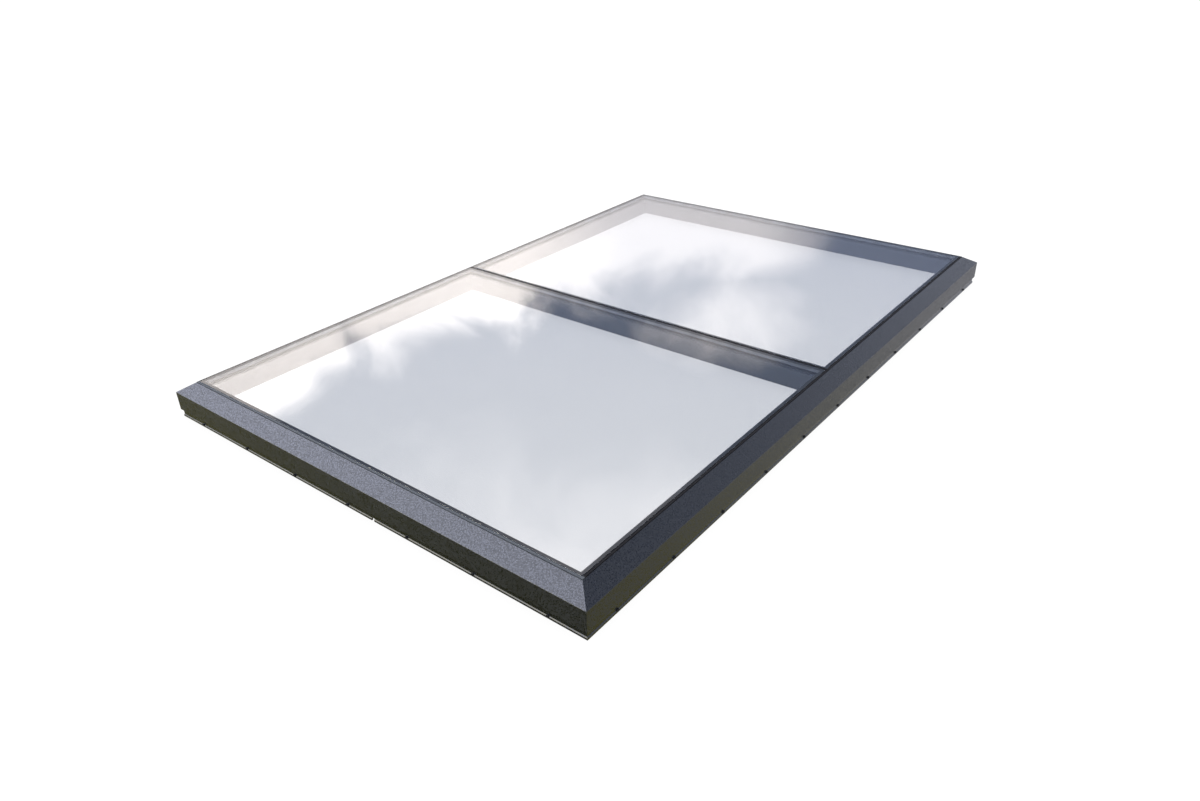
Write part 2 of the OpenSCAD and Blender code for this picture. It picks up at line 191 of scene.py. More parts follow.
class Finishes(bpy.types.PropertyGroup):
    """Colours of the finishes."""

    coat: FloatVectorProperty(
        name="Outside coat",
        description="Powder coat on the surround",
        default=(0.0042, 0.0050, 0.0064),
        subtype="COLOR",
    )
    inner_coat: FloatVectorProperty(
        name="Inside coat",
        description="Powder coat on the inner profile and the mullion",
        default=(0.020, 0.022, 0.026),
        subtype="COLOR",
    )
    glass: FloatVectorProperty(
        name="Glass",
        description="Tint of the glass",
        default=(0.905, 0.915, 0.932),
        subtype="COLOR",
    )
    rubber: FloatVectorProperty(
        name="Rubber",
        description="Silicone, seals and bushes",
        default=(0.006, 0.006, 0.007),
        subtype="COLOR",
    )
    floor: FloatVectorProperty(
        name="Floor", description="Plain floor", default=(0.15, 0.15, 0.15), subtype="COLOR"
    )


# ---- Modelling steps ----


def rest():
    """Leaves edit mode and selects nothing."""
    if bpy.context.object and bpy.context.object.mode != "OBJECT":
        bpy.ops.object.mode_set(mode="OBJECT")
    bpy.ops.object.select_all(action="DESELECT")


def select_only(piece):
    """Selects one piece, makes it active and leaves all others unselected."""
    rest()
    piece.select_set(True)
    bpy.context.view_layer.objects.active = piece


def edit(piece):
    """Goes into edit mode on one piece only."""
    select_only(piece)
    bpy.ops.object.mode_set(mode="EDIT")
    bpy.ops.mesh.select_all(action="DESELECT")


def pick(piece, kind, test):
    """Selects the vertices, edges or faces that pass a test."""
    bpy.ops.mesh.select_mode(type=kind)
    bpy.ops.mesh.select_all(action="DESELECT")
    mesh = bmesh.from_edit_mesh(piece.data)
    items = {"VERT": mesh.verts, "EDGE": mesh.edges, "FACE": mesh.faces}[kind]
    for item in items:
        if test(item):
            item.select_set(True)
    mesh.select_flush_mode()
    bmesh.update_edit_mesh(piece.data)


def middle(face):
    """Middle point of a face."""
    return sum((v.co for v in face.verts), Vector()) / len(face.verts)


def at_uz(v, u, z):
    """Whether a point on the front side lies at a distance u and a height z."""
    return abs(v.co.y - LOW.y - u) < NEAR and abs(v.co.z - z) < NEAR


def pick_faces(piece, *corners):
    """Selects the faces whose corners all lie at given places (u, z) of the front side."""
    pick(piece, "FACE", lambda f: all(any(at_uz(v, *place) for place in corners) for v in f.verts))


def extrude(move):
    """Extrudes what is selected by a move."""
    bpy.ops.mesh.extrude_region_move(TRANSFORM_OT_translate={"value": move})


def new_strip(name, u_outer, u_inner, z, half_length):
    """Starts a wall on the front side as a flat strip, ready to extrude."""
    rest()
    y = LOW.y + (u_outer + u_inner) / 2
    bpy.ops.mesh.primitive_plane_add(size=1, location=(0, y, z))
    piece = bpy.context.object
    piece.name = name
    piece.scale = (2 * half_length, u_inner - u_outer, 1)
    apply_place(piece)
    edit(piece)
    return piece


def extrude_wall(piece, before, after):
    """Extrudes a wall's end face from one cross cut to the next. A cut is (u, z), (u, z)."""
    (outer, inner), (to_outer, to_inner) = before, after
    pick_faces(piece, outer, inner)
    move = (0, to_outer[0] - outer[0], to_outer[1] - outer[1])
    extrude(move)
    moved = (inner[0] + move[1], inner[1] + move[2])
    shift = (0, to_inner[0] - moved[0], to_inner[1] - moved[1])
    if Vector(shift).length > NEAR:
        pick(piece, "VERT", lambda v: at_uz(v, *moved))
        bpy.ops.transform.translate(value=shift)


def mitre_ends(piece, half_length):
    """Cuts both ends at 45 degrees and closes the cuts."""
    for way in (-1, 1):
        bpy.ops.mesh.select_all(action="SELECT")
        bpy.ops.mesh.bisect(
            plane_co=(way * half_length, LOW.y, 0),
            plane_no=(way, 1, 0),
            use_fill=True,
            clear_outer=True,
        )


def round_edges(piece, test, offset, segments):
    """Rounds the edges that pass a test."""
    pick(piece, "EDGE", test)
    bpy.ops.mesh.bevel(offset=offset, offset_type="OFFSET", segments=segments, profile=0.5)


def soften(piece, width):
    """Rounds every remaining sharp edge a little and sets smooth shading."""
    select_only(piece)
    bevel = piece.modifiers.new("Soft edges", "BEVEL")
    bevel.width = width
    bevel.segments = 2
    bevel.limit_method = "ANGLE"
    bevel.angle_limit = SHARP
    bevel.use_clamp_overlap = True
    bevel.harden_normals = False
    bpy.ops.object.modifier_apply(modifier=bevel.name)
    smooth(piece)


def smooth(piece):
    """Smooth shading that keeps flat faces flat beside their rounded edges."""
    select_only(piece)
    bpy.ops.object.shade_smooth_by_angle(angle=CREASE)
    weighted = piece.modifiers.new("Flat faces", "WEIGHTED_NORMAL")
    weighted.keep_sharp = True
    bpy.ops.object.modifier_apply(modifier=weighted.name)


def outward(piece):
    """Makes every face of a closed piece point outwards."""
    edit(piece)
    bpy.ops.mesh.select_all(action="SELECT")
    bpy.ops.mesh.normals_make_consistent(inside=False)
    rest()


def copy_of(piece, name):
    """A copy with its own mesh."""
    other = piece.copy()
    other.data = piece.data.copy()
    other.name = name
    bpy.context.scene.collection.objects.link(other)
    return other


def apply_place(piece):
    """Moves a piece's place, turn and size into its mesh."""
    select_only(piece)
    bpy.ops.object.transform_apply(location=True, rotation=True, scale=True)


def joined(pieces, name):
    """Joins copies into one piece."""
    select_only(pieces[0])
    for piece in pieces:
        piece.select_set(True)
    bpy.ops.object.join()
    pieces[0].name = name
    pieces[0].data.name = name
    return pieces[0]


def lathe(name, rings, steps):
    """Turns a closed outline of (radius, height) points around Z by extruding a circle."""
    rest()
    bpy.ops.mesh.primitive_circle_add(
        vertices=steps, radius=rings[0][0], fill_type="NOTHING", location=(0, 0, rings[0][1])
    )
    piece = bpy.context.object
    piece.name = name
    apply_place(piece)
    edit(piece)
    bpy.ops.mesh.select_mode(type="EDGE")
    bpy.ops.mesh.select_all(action="SELECT")
    for (r, z), (next_r, next_z) in zip(rings, rings[1:] + rings[:1]):
        extrude((0, 0, next_z - z))
        if abs(next_r - r) > NEAR:
            grow = next_r / r
            bpy.ops.transform.resize(value=(grow, grow, 1), center_override=(0, 0, next_z))
    bpy.ops.mesh.select_all(action="SELECT")
    bpy.ops.mesh.remove_doubles(threshold=0.01 * MM)
    bpy.ops.mesh.normals_make_consistent(inside=False)
    rest()
    return piece


def places(length, pitch):
    """Evenly spaced places along a side, half a spacing in from each end."""
    count = math.ceil(length / pitch)
    return [(i + 0.5) * length / count - length / 2 for i in range(count)]


def side_length(side):
    """Length of a side, by its number in quarter turns from the front."""
    return WIDTH if side % 2 == 0 else LENGTH


def side_distance(side):
    """Distance of a side's outer face from the centre."""
    return LENGTH / 2 if side % 2 == 0 else WIDTH / 2


def to_side(piece, side):
    """Turns a piece modelled on the front side to another side."""
    piece.location = Matrix.Rotation(side * QUARTER, 3, "Z") @ Vector(
        (0, LENGTH / 2 - side_distance(side), 0)
    )
    piece.rotation_euler = (0, 0, side * QUARTER)
    apply_place(piece)


def stand_in(piece, nodes, material):
    """Lets a finished piece stand for CAD nodes on the body root."""
    piece.data.materials.clear()
    piece.data.materials.append(material)
    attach(piece, "root")
    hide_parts(*nodes)


# ---- Finishes ----

# how fine the patterns are, in cells or waves to a metre, and how deep in metres
COAT_SPECKS = 210
COAT_CLOUDS = 9
COAT_PEEL = 900
COAT_DEPTH = 0.05 * MM
RUBBER_BLOOM = 14
RUBBER_GRAIN = 700
RUBBER_DEPTH = 0.03 * MM
JOINT_RIPPLE = 160
JOINT_RIPPLE_DEPTH = 0.02 * MM
DRAWING_LINES = 260
METAL_STAINS = 7
DRAWING_DEPTH = 0.01 * MM
GLASS_FILM = 3.5
GLASS_SMEARS = 40
FLOOR_CLOUDS = 2
PAINTED_SHEEN_FADE = 4 * MM  # over which the painted sheen ends at the corners

GLASS_IOR = 1.52
FLOOR_GLOW = 0.88

# painted sheen: grey laid on the joints of the short sides so that they look lit beside the black
# joints of the long sides
PAINTED_SHEEN_THIN = (0.076, 0.086, 0.104)
PAINTED_SHEEN_THICK = (0.096, 0.106, 0.124)
MILL = (0.72, 0.73, 0.75)
ZINC = (0.62, 0.63, 0.66)
INSULATION = (0.72, 0.62, 0.34)
SEAL_BLACK = (0.030, 0.030, 0.032)
TAPE_BLACK = (0.012, 0.012, 0.013)
# these two touch the glass, which makes them look darker than they are
EDGE_SEALANT = (0.23, 0.25, 0.29)
SPACER_BAR = (0.21, 0.23, 0.27)

RANGE_ENDS = ("From Min", "From Max", "To Min", "To Max")


def shade(colour, factor):
    """A colour made darker or lighter."""
    return tuple(c * factor for c in colour)


def colour_socket(sockets, name):
    """The colour socket of a name, of a node that has others of the same name."""
    return next(s for s in sockets if s.name == name and s.type == "RGBA")


class Nodes:
    """Adds and joins the nodes of a material or of the world."""

    def __init__(self, tree):
        self.tree = tree

    def add(self, kind, **settings):
        """A new node with its settings."""
        node = self.tree.nodes.new("ShaderNode" + kind)
        for key, value in settings.items():
            setattr(node, key, value)
        return node

    def feed(self, socket, value):
        """Gives a socket another node's output, a number, a vector or a colour."""
        if isinstance(value, bpy.types.NodeSocket):
            self.tree.links.new(value, socket)
        else:
            socket.default_value = (*value, 1) if socket.type == "RGBA" else value

    def math(self, operation, *values):
        """The result of one step of arithmetic."""
        node = self.add("Math", operation=operation)
        for socket, value in zip(node.inputs, values):
            self.feed(socket, value)
        return node.outputs["Value"]

    def between(self, value, low, high, to_low=0.0, to_high=1.0, kind="LINEAR"):
        """Maps a value from one range to another."""
        node = self.add("MapRange", interpolation_type=kind)
        for key, number in zip(RANGE_ENDS, (low, high, to_low, to_high)):
            self.feed(node.inputs[key], number)
        self.feed(node.inputs["Value"], value)
        return node.outputs["Result"]

    def blend(self, factor, first, second):
        """Mixes two colours by a factor from 0 to 1."""
        node = self.add("Mix", data_type="RGBA")
        self.feed(node.inputs["Factor"], factor)
        self.feed(colour_socket(node.inputs, "A"), first)
        self.feed(colour_socket(node.inputs, "B"), second)
        return colour_socket(node.outputs, "Result")

    def axes(self, vector):
        """The X, Y and Z parts of a vector."""
        node = self.add("SeparateXYZ")
        self.feed(node.inputs["Vector"], vector)
        return [node.outputs[axis] for axis in "XYZ"]

    def noise_at(self, place, scale, detail, twist=0.0):
        """Noise at a place, of a scale in waves to its unit."""
        node = self.add("TexNoise")
        self.feed(node.inputs["Vector"], place)
        self.feed(node.inputs["Scale"], scale)
        self.feed(node.inputs["Detail"], detail)
        self.feed(node.inputs["Distortion"], twist)
        return node.outputs["Fac"]


class Recipe(Nodes):
    """The nodes of one material, with its patterns on object coordinates."""

    def __init__(self, tree):
        super().__init__(tree)
        self.shader = tree.nodes["Principled BSDF"]
        self.coords = self.add("TexCoord").outputs["Object"]

    def set(self, name, value):
        """Gives one of the shader's sockets a value or another node's output."""
        self.feed(self.shader.inputs[name], value)

    def noise(self, scale, detail=3.0, stretch=None):
        """Noise of a scale, in waves to a metre, stretched along one axis if asked."""
        place = self.coords
        if stretch:
            mapping = self.add("Mapping")
            self.feed(mapping.inputs["Vector"], place)
            self.feed(mapping.inputs["Scale"], stretch)
            place = mapping.outputs["Vector"]
        return self.noise_at(place, scale, detail)

    def cells(self, scale):
        """Distance to the nearest point of a random set, for pores and specks."""
        node = self.add("TexVoronoi")
        self.feed(node.inputs["Vector"], self.coords)
        self.feed(node.inputs["Scale"], scale)
        return node.outputs["Distance"]

    def sum(self, first, second, weight):
        """Adds a second value, times a weight, to a first."""
        return self.math("MULTIPLY_ADD", second, weight, first)

    def bump(self, height, depth):
        """Raises the surface by a height from 0 to 1 times a depth in metres."""
        node = self.add("Bump")
        self.feed(node.inputs["Strength"], 1.0)
        self.feed(node.inputs["Distance"], depth)
        self.feed(node.inputs["Height"], height)
        self.set("Normal", node.outputs["Normal"])


def powder_coat(recipe, colour, low, high):
    """Fine textured powder coat: an orange-peel surface with light and dark specks."""
    speck = recipe.cells(COAT_SPECKS)
    cloud = recipe.noise(COAT_CLOUDS, 2.0)
    peel = recipe.noise(COAT_PEEL, 2.0)
    tone = recipe.between(recipe.sum(speck, cloud, 0.25), 0.25, 0.80)
    recipe.set("Base Color", recipe.blend(tone, shade(colour, 0.5), shade(colour, 2.0)))
    recipe.set("Roughness", recipe.between(speck, 0.15, 0.65, low, high))
    recipe.set("Specular IOR Level", 0.5)
    recipe.bump(recipe.sum(peel, speck, 8.0), COAT_DEPTH)


def rubber(recipe, colour, roughness, grain=RUBBER_GRAIN):
    """Matt rubber or plastic with a faint bloom."""
    bloom = recipe.between(recipe.noise(RUBBER_BLOOM, 4.0), 0.35, 0.7)
    fine = recipe.noise(grain)
    recipe.set("Base Color", recipe.blend(bloom, colour, shade(colour, 1.8)))
    recipe.set("Roughness", recipe.between(fine, 0.3, 0.7, roughness - 0.06, roughness + 0.06))
    recipe.set("Specular IOR Level", 0.35)
    recipe.bump(fine, RUBBER_DEPTH)


def joint_silicone(recipe, colour):
    """Black tooled silicone, with a painted grey sheen on the joints of the short sides."""
    away = recipe.math("ABSOLUTE", recipe.axes(recipe.coords)[1])
    pane_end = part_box("outer_pane_back")[1].y
    short = recipe.between(away, pane_end - PAINTED_SHEEN_FADE, pane_end)
    ripple = recipe.noise(JOINT_RIPPLE)
    # painted sheen: the joints of the short sides are made grey so that they look lit, the others
    # stay black
    film_and_painted_sheen = recipe.blend(recipe.between(ripple, 0.3, 0.7), PAINTED_SHEEN_THIN, PAINTED_SHEEN_THICK)
    recipe.set("Base Color", recipe.blend(short, colour, film_and_painted_sheen))
    recipe.set("Roughness", recipe.between(ripple, 0.3, 0.7, 0.58, 0.70))
    recipe.set("Specular IOR Level", 0.15)
    recipe.bump(ripple, JOINT_RIPPLE_DEPTH)


def foam(recipe, colour, cell):
    """Closed-cell foam with pores of a given size in metres."""
    pores = recipe.cells(1 / cell)
    recipe.set("Base Color", recipe.blend(
        recipe.between(pores, 0.1, 0.55, 1.0, 0.0), colour, shade(colour, 0.62)))
    recipe.set("Roughness", 0.92)
    recipe.set("Specular IOR Level", 0.2)
    recipe.bump(recipe.between(pores, 0.0, 0.5), cell * 0.15)


def bare_metal(recipe, colour, roughness, stretch):
    """Mill-finish or plated metal with fine drawing lines along one axis."""
    lines = recipe.noise(DRAWING_LINES, 3.0, stretch)
    stain = recipe.between(recipe.noise(METAL_STAINS), 0.35, 0.7)
    recipe.set("Base Color", recipe.blend(stain, colour, shade(colour, 0.82)))
    recipe.set("Roughness", recipe.between(lines, 0.3, 0.7, roughness - 0.08, roughness + 0.08))
    recipe.set("Metallic", 1.0)
    recipe.bump(lines, DRAWING_DEPTH)


def clear_glass(recipe, tint):
    """Clear glass that lets the lamp through without dark shadows."""
    film_and_painted_sheen = recipe.noise(GLASS_FILM, 4.0)
    smears = recipe.between(recipe.noise(GLASS_SMEARS), 0.45, 0.75, 0.0, 0.012)
    recipe.set("Base Color", recipe.blend(film_and_painted_sheen, tint, shade(tint, 0.99)))
    recipe.set("Roughness", smears)
    recipe.set("Transmission Weight", 1.0)
    recipe.set("IOR", GLASS_IOR)
    clear = recipe.add("BsdfTransparent")
    recipe.feed(clear.inputs["Color"], shade(tint, 0.95))
    mix = recipe.add("MixShader")
    recipe.feed(mix.inputs["Fac"], recipe.add("LightPath").outputs["Is Shadow Ray"])
    recipe.feed(mix.inputs[1], recipe.shader.outputs["BSDF"])
    recipe.feed(mix.inputs[2], clear.outputs["BSDF"])
    surface = recipe.tree.nodes["Material Output"].inputs["Surface"]
    recipe.feed(surface, mix.outputs["Shader"])


def plain_floor(recipe, tone):
    """Matt floor that gives off most of its own pale light."""
    recipe.set("Base Color", recipe.blend(recipe.noise(FLOOR_CLOUDS, 2.0), tone, shade(tone, 0.99)))
    recipe.set("Roughness", 1.0)
    recipe.set("Specular IOR Level", 0.0)
    recipe.set("Emission Color", (1, 1, 1))
    recipe.set("Emission Strength", FLOOR_GLOW)


def made(name, make, *values):
    """The material of a name, made by its recipe when it is first asked for."""
    material = bpy.data.materials.get(name)
    if material is None:
        material = bpy.data.materials.new(name)
        material.use_nodes = True
        make(Recipe(material.node_tree), *values)
    return material


def finishes():
    """Every finish of the part, by its slot in the record."""
    colours = bpy.context.scene.rooflight_finishes
    coat, inner = tuple(colours.coat), tuple(colours.inner_coat)
    black = tuple(colours.rubber)
    return {
        "powder_coat": made("Textured powder coat", powder_coat, coat, 0.18, 0.52),
        # painted highlight: the base profile's coat is the surround's coat made 1.2 times lighter,
        # so that the light line along its foot comes out brighter
        "base_coat": made("Base profile coat", powder_coat, shade(coat, 1.2), 0.16, 0.30),
        "inner_coat": made("Inner profile coat", powder_coat, inner, 0.34, 0.44),
        "mill_aluminium": made("Mill aluminium", bare_metal, MILL, 0.38, (1, 1, 0.05)),
        "insulation_foam": made("Insulation foam", foam, INSULATION, 1.2 * MM),
        "bush_plastic": made("Moulded bush plastic", rubber, shade(black, 1.4), 0.42, 1200),
        "foam_seal": made("Foam seal", foam, SEAL_BLACK, 0.9 * MM),
        "glass": made("Clear glass", clear_glass, tuple(colours.glass)),
        "edge_sealant": made("Edge sealant", rubber, EDGE_SEALANT, 0.5),
        "spacer_bar": made("Warm-edge spacer", rubber, SPACER_BAR, 0.45, 1500),
        "tape": made("Glazing tape", foam, TAPE_BLACK, 0.5 * MM),
        "silicone": made("Black silicone", joint_silicone, black),
        "block_rubber": made("Block rubber", rubber, shade(black, 2.5), 0.6),
        "zinc_screws": made("Zinc plate", bare_metal, ZINC, 0.30, (1, 1, 1)),
    }


# ---- Pieces ----


class ROOFLIGHT_OT_surround(bpy.types.Operator):
    """Models the four bevelled cladding profiles, mitred at the corners."""

    bl_idname = "rooflight.surround"
    bl_label = "Surround"

    def execute(self, context):
        sizes = context.scene.rooflight_surround
        wall = sizes.wall
        rim_z = GLASS_TOP - sizes.rim_drop
        bevel_z = GLASS_TOP - sizes.bevel_drop
        slope = (rim_z - bevel_z) / sizes.bevel_width
        wall_down = wall * math.hypot(1, slope)

        def under(u):
            """Height of the bevel's underside at a distance u."""
            return bevel_z + slope * u - wall_down

        rim = sizes.bevel_width
        leg = rim - wall
        cuts = [
            ((0, SKIRT_LOW), (wall, SKIRT_LOW)),
            ((0, PLATE_TOP), (wall, PLATE_TOP)),
            ((0, PLATE_TOP + wall), (wall, PLATE_TOP + wall)),
            ((0, bevel_z), (wall, under(wall))),
            ((rim, rim_z), (leg, under(leg))),
            ((rim, LEDGE + wall), (leg, LEDGE + wall)),
            ((rim, LEDGE), (leg, LEDGE)),
        ]
        lean = math.atan(slope)
        shoulder_cut = sizes.edge_radius / math.tan((QUARTER + lean) / 2)
        rim_cut = sizes.edge_radius / math.tan((QUARTER - lean) / 2)
        material = finishes()["powder_coat"]
        # the lip lies on the base profile and the foot on the inner profile
        lip = ((wall, PLATE_TOP), (wall, PLATE_TOP + wall))
        foot = ((leg, LEDGE), (leg, LEDGE + wall))
        for side in (0, 1):
            half = side_length(side) / 2
            piece = new_strip("cladding_visual", 0, wall, SKIRT_LOW, half)
            for before, after in zip(cuts, cuts[1:]):
                extrude_wall(piece, before, after)
            pick_faces(piece, *lip)
            extrude((0, sizes.lip_reach - wall, 0))
            pick_faces(piece, *foot)
            extrude((0, wall - sizes.foot_width, 0))
            mitre_ends(piece, half)
            for place, cut in (((0, bevel_z), shoulder_cut), ((rim, rim_z), rim_cut)):
                round_edges(piece, lambda e: all(at_uz(v, *place) for v in e.verts), cut, 3)
            outward(piece)
            soften(piece, sizes.small_edge)
            for turn in (side, side + 2):
                name = "cladding_" + SIDES[turn]
                profile = copy_of(piece, name + "_visual")
                to_side(profile, turn)
                stand_in(profile, [name], material)
            bpy.data.objects.remove(piece)
        return {"FINISHED"}


def is_upright(edge):
    """Whether an edge runs up the thickness of a pane."""
    return abs(edge.verts[0].co.z - edge.verts[1].co.z) > NEAR


def is_right_angle(edge):
    """Whether the faces beside an edge turn by more than a radian."""
    return len(edge.link_faces) == 2 and edge.calc_face_angle() > 1.0


class ROOFLIGHT_OT_panes(bpy.types.Operator):
    """Models the outer and inner panes of both glass units with ground edges."""

    bl_idname = "rooflight.panes"
    bl_label = "Panes"

    def execute(self, context):
        sizes = context.scene.rooflight_glass
        material = finishes()["glass"]
        for node in ("outer_pane_front", "outer_pane_back", "inner_pane_front", "inner_pane_back"):
            low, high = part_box(node)
            rest()
            bpy.ops.mesh.primitive_cube_add(size=1, location=(low + high) / 2)
            piece = bpy.context.object
            piece.name = node + "_visual"
            piece.scale = high - low
            apply_place(piece)
            edit(piece)
            round_edges(piece, is_upright, 3 * sizes.arris, 3)
            round_edges(piece, is_right_angle, sizes.arris, 1)
            smooth(piece)
            stand_in(piece, [node], material)
        return {"FINISHED"}


# shares of the joint's width, from 0 at the glass to 1 at the rim, and of its dip there
JOINT_CUTS = (0.0, 0.25, 0.5, 0.75)
JOINT_DIPS = {0.25: 0.75, 0.5: 1.0, 0.75: 1.0, 1.0: 1.1}


class ROOFLIGHT_OT_silicone(bpy.types.Operator):
    """Models the tooled silicone joint around both panes and between them."""

    bl_idname = "rooflight.silicone"
    bl_label = "Silicone joint"

    def execute(self, context):
        sizes = context.scene.rooflight_glass
        low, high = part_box("silicone_joint")
        pane_low, pane_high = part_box("outer_pane_back")
        rest()
        bpy.ops.mesh.primitive_plane_add(size=1, location=(0, 0, high.z))
        piece = bpy.context.object
        piece.name = "silicone_joint_visual"
        piece.scale = (high.x - low.x, high.y - low.y, 1)
        apply_place(piece)
        edit(piece)
        edge = high.x - pane_high.x
        centre = pane_low.y
        lines_x = [pane_high.x + edge * share for share in JOINT_CUTS]
        lines_y = [pane_high.y + edge * share for share in JOINT_CUTS] + [centre, centre / 2]
        cuts = [((way * x, 0, 0), (1, 0, 0)) for x in lines_x for way in (-1, 1)]
        cuts += [((0, way * y, 0), (0, 1, 0)) for y in lines_y for way in (-1, 1)]
        cuts.append(((0, 0, 0), (0, 1, 0)))
        for point, normal in cuts:
            bpy.ops.mesh.select_all(action="SELECT")
            bpy.ops.mesh.bisect(plane_co=point, plane_no=normal)

        def on_glass(point):
            """Whether a point lies over a pane."""
            between_joints = centre + NEAR < abs(point.y) < pane_high.y - NEAR
            return abs(point.x) < pane_high.x - NEAR and between_joints

        pick(piece, "FACE", lambda f: on_glass(middle(f)))
        bpy.ops.mesh.delete(type="FACE")

        def share_across(v):
            """How far a point lies across its joint, from 0 at the glass to 1 at the rim."""
            outer = max(abs(v.co.x) - pane_high.x, abs(v.co.y) - pane_high.y) / edge
            return outer if outer > 0.01 else (centre - abs(v.co.y)) / (2 * centre)

        for share, depth in JOINT_DIPS.items():
            pick(piece, "VERT", lambda v: abs(share_across(v) - share) < 0.02)
            bpy.ops.transform.translate(value=(0, 0, -depth * sizes.joint_dip))
        bpy.ops.mesh.select_all(action="SELECT")
        extrude((0, 0, -sizes.joint_depth))
        bpy.ops.transform.resize(value=(1, 1, 0), center_override=(0, 0, low.z))
        outward(piece)
        piece.select_set(True)
        bpy.ops.object.shade_smooth_by_angle(angle=math.radians(35))
        stand_in(piece, ["silicone_joint"], finishes()["silicone"])
        return {"FINISHED"}


class ROOFLIGHT_OT_bushes(bpy.types.Operator):
    """Turns one fixing bush and sets copies of it in every kerb fixing hole."""

    bl_idname = "rooflight.bushes"
    bl_label = "Fixing bushes"

    def execute(self, context):
        sizes = context.scene.rooflight_fixings
        low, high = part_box("fixing_bushes_front")
        base_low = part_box("base_profile_front")[0]
        head_start, end = low.y - LOW.y, high.y - LOW.y
        # the head's shoulder lies on the wall of the base profile, behind its foot
        shoulder = base_low.y - LOW.y + sizes.foot_out
        bore, head, barrel = sizes.bore / 2, sizes.head / 2, sizes.barrel / 2
        mouth, nose = 0.5 * MM, 0.8 * MM
        outline = [
            (bore, head_start + mouth),
            (bore + mouth, head_start),
            (head - nose, head_start),
            (head - 0.3 * nose, head_start + 0.3 * nose),
            (head, head_start + nose),
            (head, shoulder),
            (barrel, shoulder),
            (barrel, end - mouth),
            (barrel - mouth, end),
            (bore, end),
        ]
        bush = lathe("bush", outline, sizes.steps)
        bush.rotation_euler = (-QUARTER, 0, 0)
        bush.location = (0, LOW.y, sizes.height)
        apply_place(bush)
        bpy.ops.object.shade_smooth_by_angle(angle=math.radians(40))
        material = finishes()["bush_plastic"]
        for side in range(4):
            copies = []
            for x in places(side_length(side), sizes.pitch):
                other = copy_of(bush, "bush_copy")
                other.location = (x, 0, 0)
                copies.append(other)
            name = "fixing_bushes_" + SIDES[side]
            group = joined(copies, name + "_visual")
            apply_place(group)
            to_side(group, side)
            stand_in(group, [name], material)
        bpy.data.objects.remove(bush)
        return {"FINISHED"}


def softened_copy(node, width, slot):
    """Sets a merged copy of a CAD node, with its sharp edges softened, in the node's place."""
    rest()
    piece = copy_of(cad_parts[node], node + "_visual")
    for key in list(piece.keys()):
        del piece[key]
    piece.parent = None
    edit(piece)
    bpy.ops.mesh.select_all(action="SELECT")
    bpy.ops.mesh.remove_doubles(threshold=0.001 * MM)
    bpy.ops.mesh.customdata_custom_splitnormals_clear()
    bpy.ops.mesh.dissolve_limited(angle_limit=math.radians(0.5))
    rest()
    soften(piece, width)
    stand_in(piece, [node], finishes()[slot])


class ROOFLIGHT_OT_profiles(bpy.types.Operator):
    """Softens the edges of the base profiles, the inner profiles and the mullion."""

    bl_idname = "rooflight.profiles"
    bl_label = "Profiles"

    def execute(self, context):
        for side in SIDES:
            softened_copy("inner_profile_" + side, 0.4 * MM, "inner_coat")
            softened_copy("base_profile_" + side, 0.3 * MM, "base_coat")
        softened_copy("mullion", 0.8 * MM, "inner_coat")
        return {"FINISHED"}


class ROOFLIGHT_OT_hidden(bpy.types.Operator):
    """Gives the CAD nodes that stay their finishes."""

    bl_idname = "rooflight.hidden"
    bl_label = "Seals, cleats and screws"

    def execute(self, context):
        by_slot = finishes()
        for name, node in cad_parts.items():
            node.data.materials.clear()
            node.data.materials.append(by_slot[slot_of(name)])
        return {"FINISHED"}


NODE_SLOTS = {
    "cladding_screws": "zinc_screws",
    "frame_screws": "zinc_screws",
    "mullion_screws": "zinc_screws",
    "cleat_screws": "zinc_screws",
    "cladding": "powder_coat",
    "base_profile": "base_coat",
    "inner_profile": "inner_coat",
    "mullion_cleat": "mill_aluminium",
    "mullion": "inner_coat",
    "corner_angle": "mill_aluminium",
    "corner_cleat": "mill_aluminium",
    "insulation": "insulation_foam",
    "fixing_bushes": "bush_plastic",
    "base_seal": "foam_seal",
    "backer_rod": "foam_seal",
    "outer_pane": "glass",
    "inner_pane": "glass",
    "edge_seal": "edge_sealant",
    "spacer": "spacer_bar",
    "glazing_tape": "tape",
    "silicone_joint": "silicone",
    "setting_blocks": "block_rubber",
    "centre_blocks": "block_rubber",
}


def slot_of(name):
    """The material slot of a CAD node, by the start of its name."""
    for start, slot in NODE_SLOTS.items():
        if name.startswith(start):
            return slot
    raise RuntimeError("no finish for " + name)


# ---- Stage ----

DEGREES = 180 / math.pi

# Colours of the mirrored sky and ground.
CLEAR_LOW = (0.24, 0.28, 0.40)
CLEAR_HIGH = (0.17, 0.21, 0.31)
HAZE_LOW = (1.25, 1.32, 1.56)
HAZE_HIGH = (0.28, 0.36, 0.58)
CLOUD = (2.1, 1.95, 1.86)
SOFTBOX = (5.1, 5.37, 6.7)
SOFTBOX_LOW = (6.0, 5.7, 4.7)
FRONT_GROUND_LOW = (0.07, 0.066, 0.0)
FRONT_GROUND_HIGH = (0.32, 0.30, 0.10)
RIGHT_GROUND_LOW = (0.29, 0.26, 0.0)
RIGHT_GROUND_HIGH = (0.82, 0.82, 0.90)
STUDIO = (1.0, 1.0, 1.0)
STUDIO_LIGHT = 1.2

# The noise that frays the clouds: where it is taken from, how fine and how twisted it is.
WISP_SHIFT = (0.35, 0.20, 0.0)
WISP_SCALE, WISP_DETAIL, WISP_TWIST = 9.0, 9.0, 0.5

